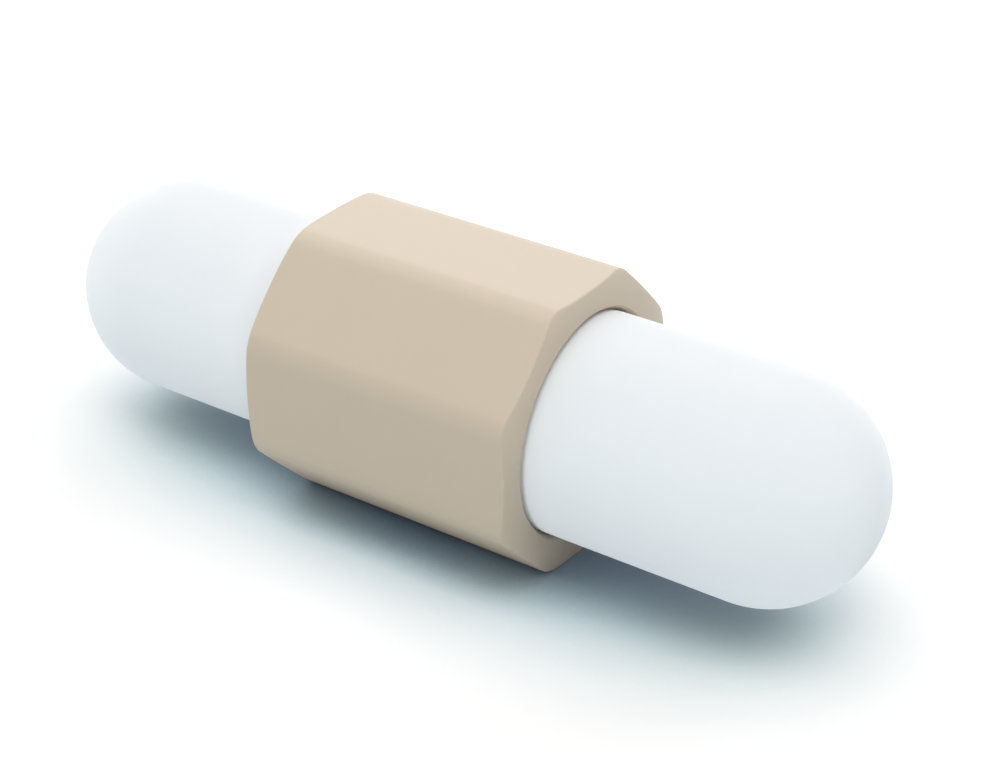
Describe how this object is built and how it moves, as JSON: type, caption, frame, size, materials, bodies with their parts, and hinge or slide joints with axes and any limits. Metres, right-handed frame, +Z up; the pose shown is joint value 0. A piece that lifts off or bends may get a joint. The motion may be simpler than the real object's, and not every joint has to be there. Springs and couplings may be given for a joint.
{
  "type": "magnetic stir bar",
  "caption": "White coated bar magnet with rounded ends and a beige octagonal collar round its middle, spun by a magnetic stirrer to mix a liquid.",
  "frame": {"origin": "middle of the collar's lowest flat, which the part rests on, below the middle of the bar", "axes": "+X along the bar, +Y across it, +Z up from the flat it rests on"},
  "size_m": [0.039, 0.0122, 0.0122],
  "materials": {
    "magnet_alloy": "ground",
    "white_ptfe": "smooth, waxy, matte",
    "beige_plastic": "smooth, matte"
  },
  "bodies": {
    "root": {"magnet": "magnet_alloy", "casing": "white_ptfe", "collar": "beige_plastic"}
  },
  "joints": []
}
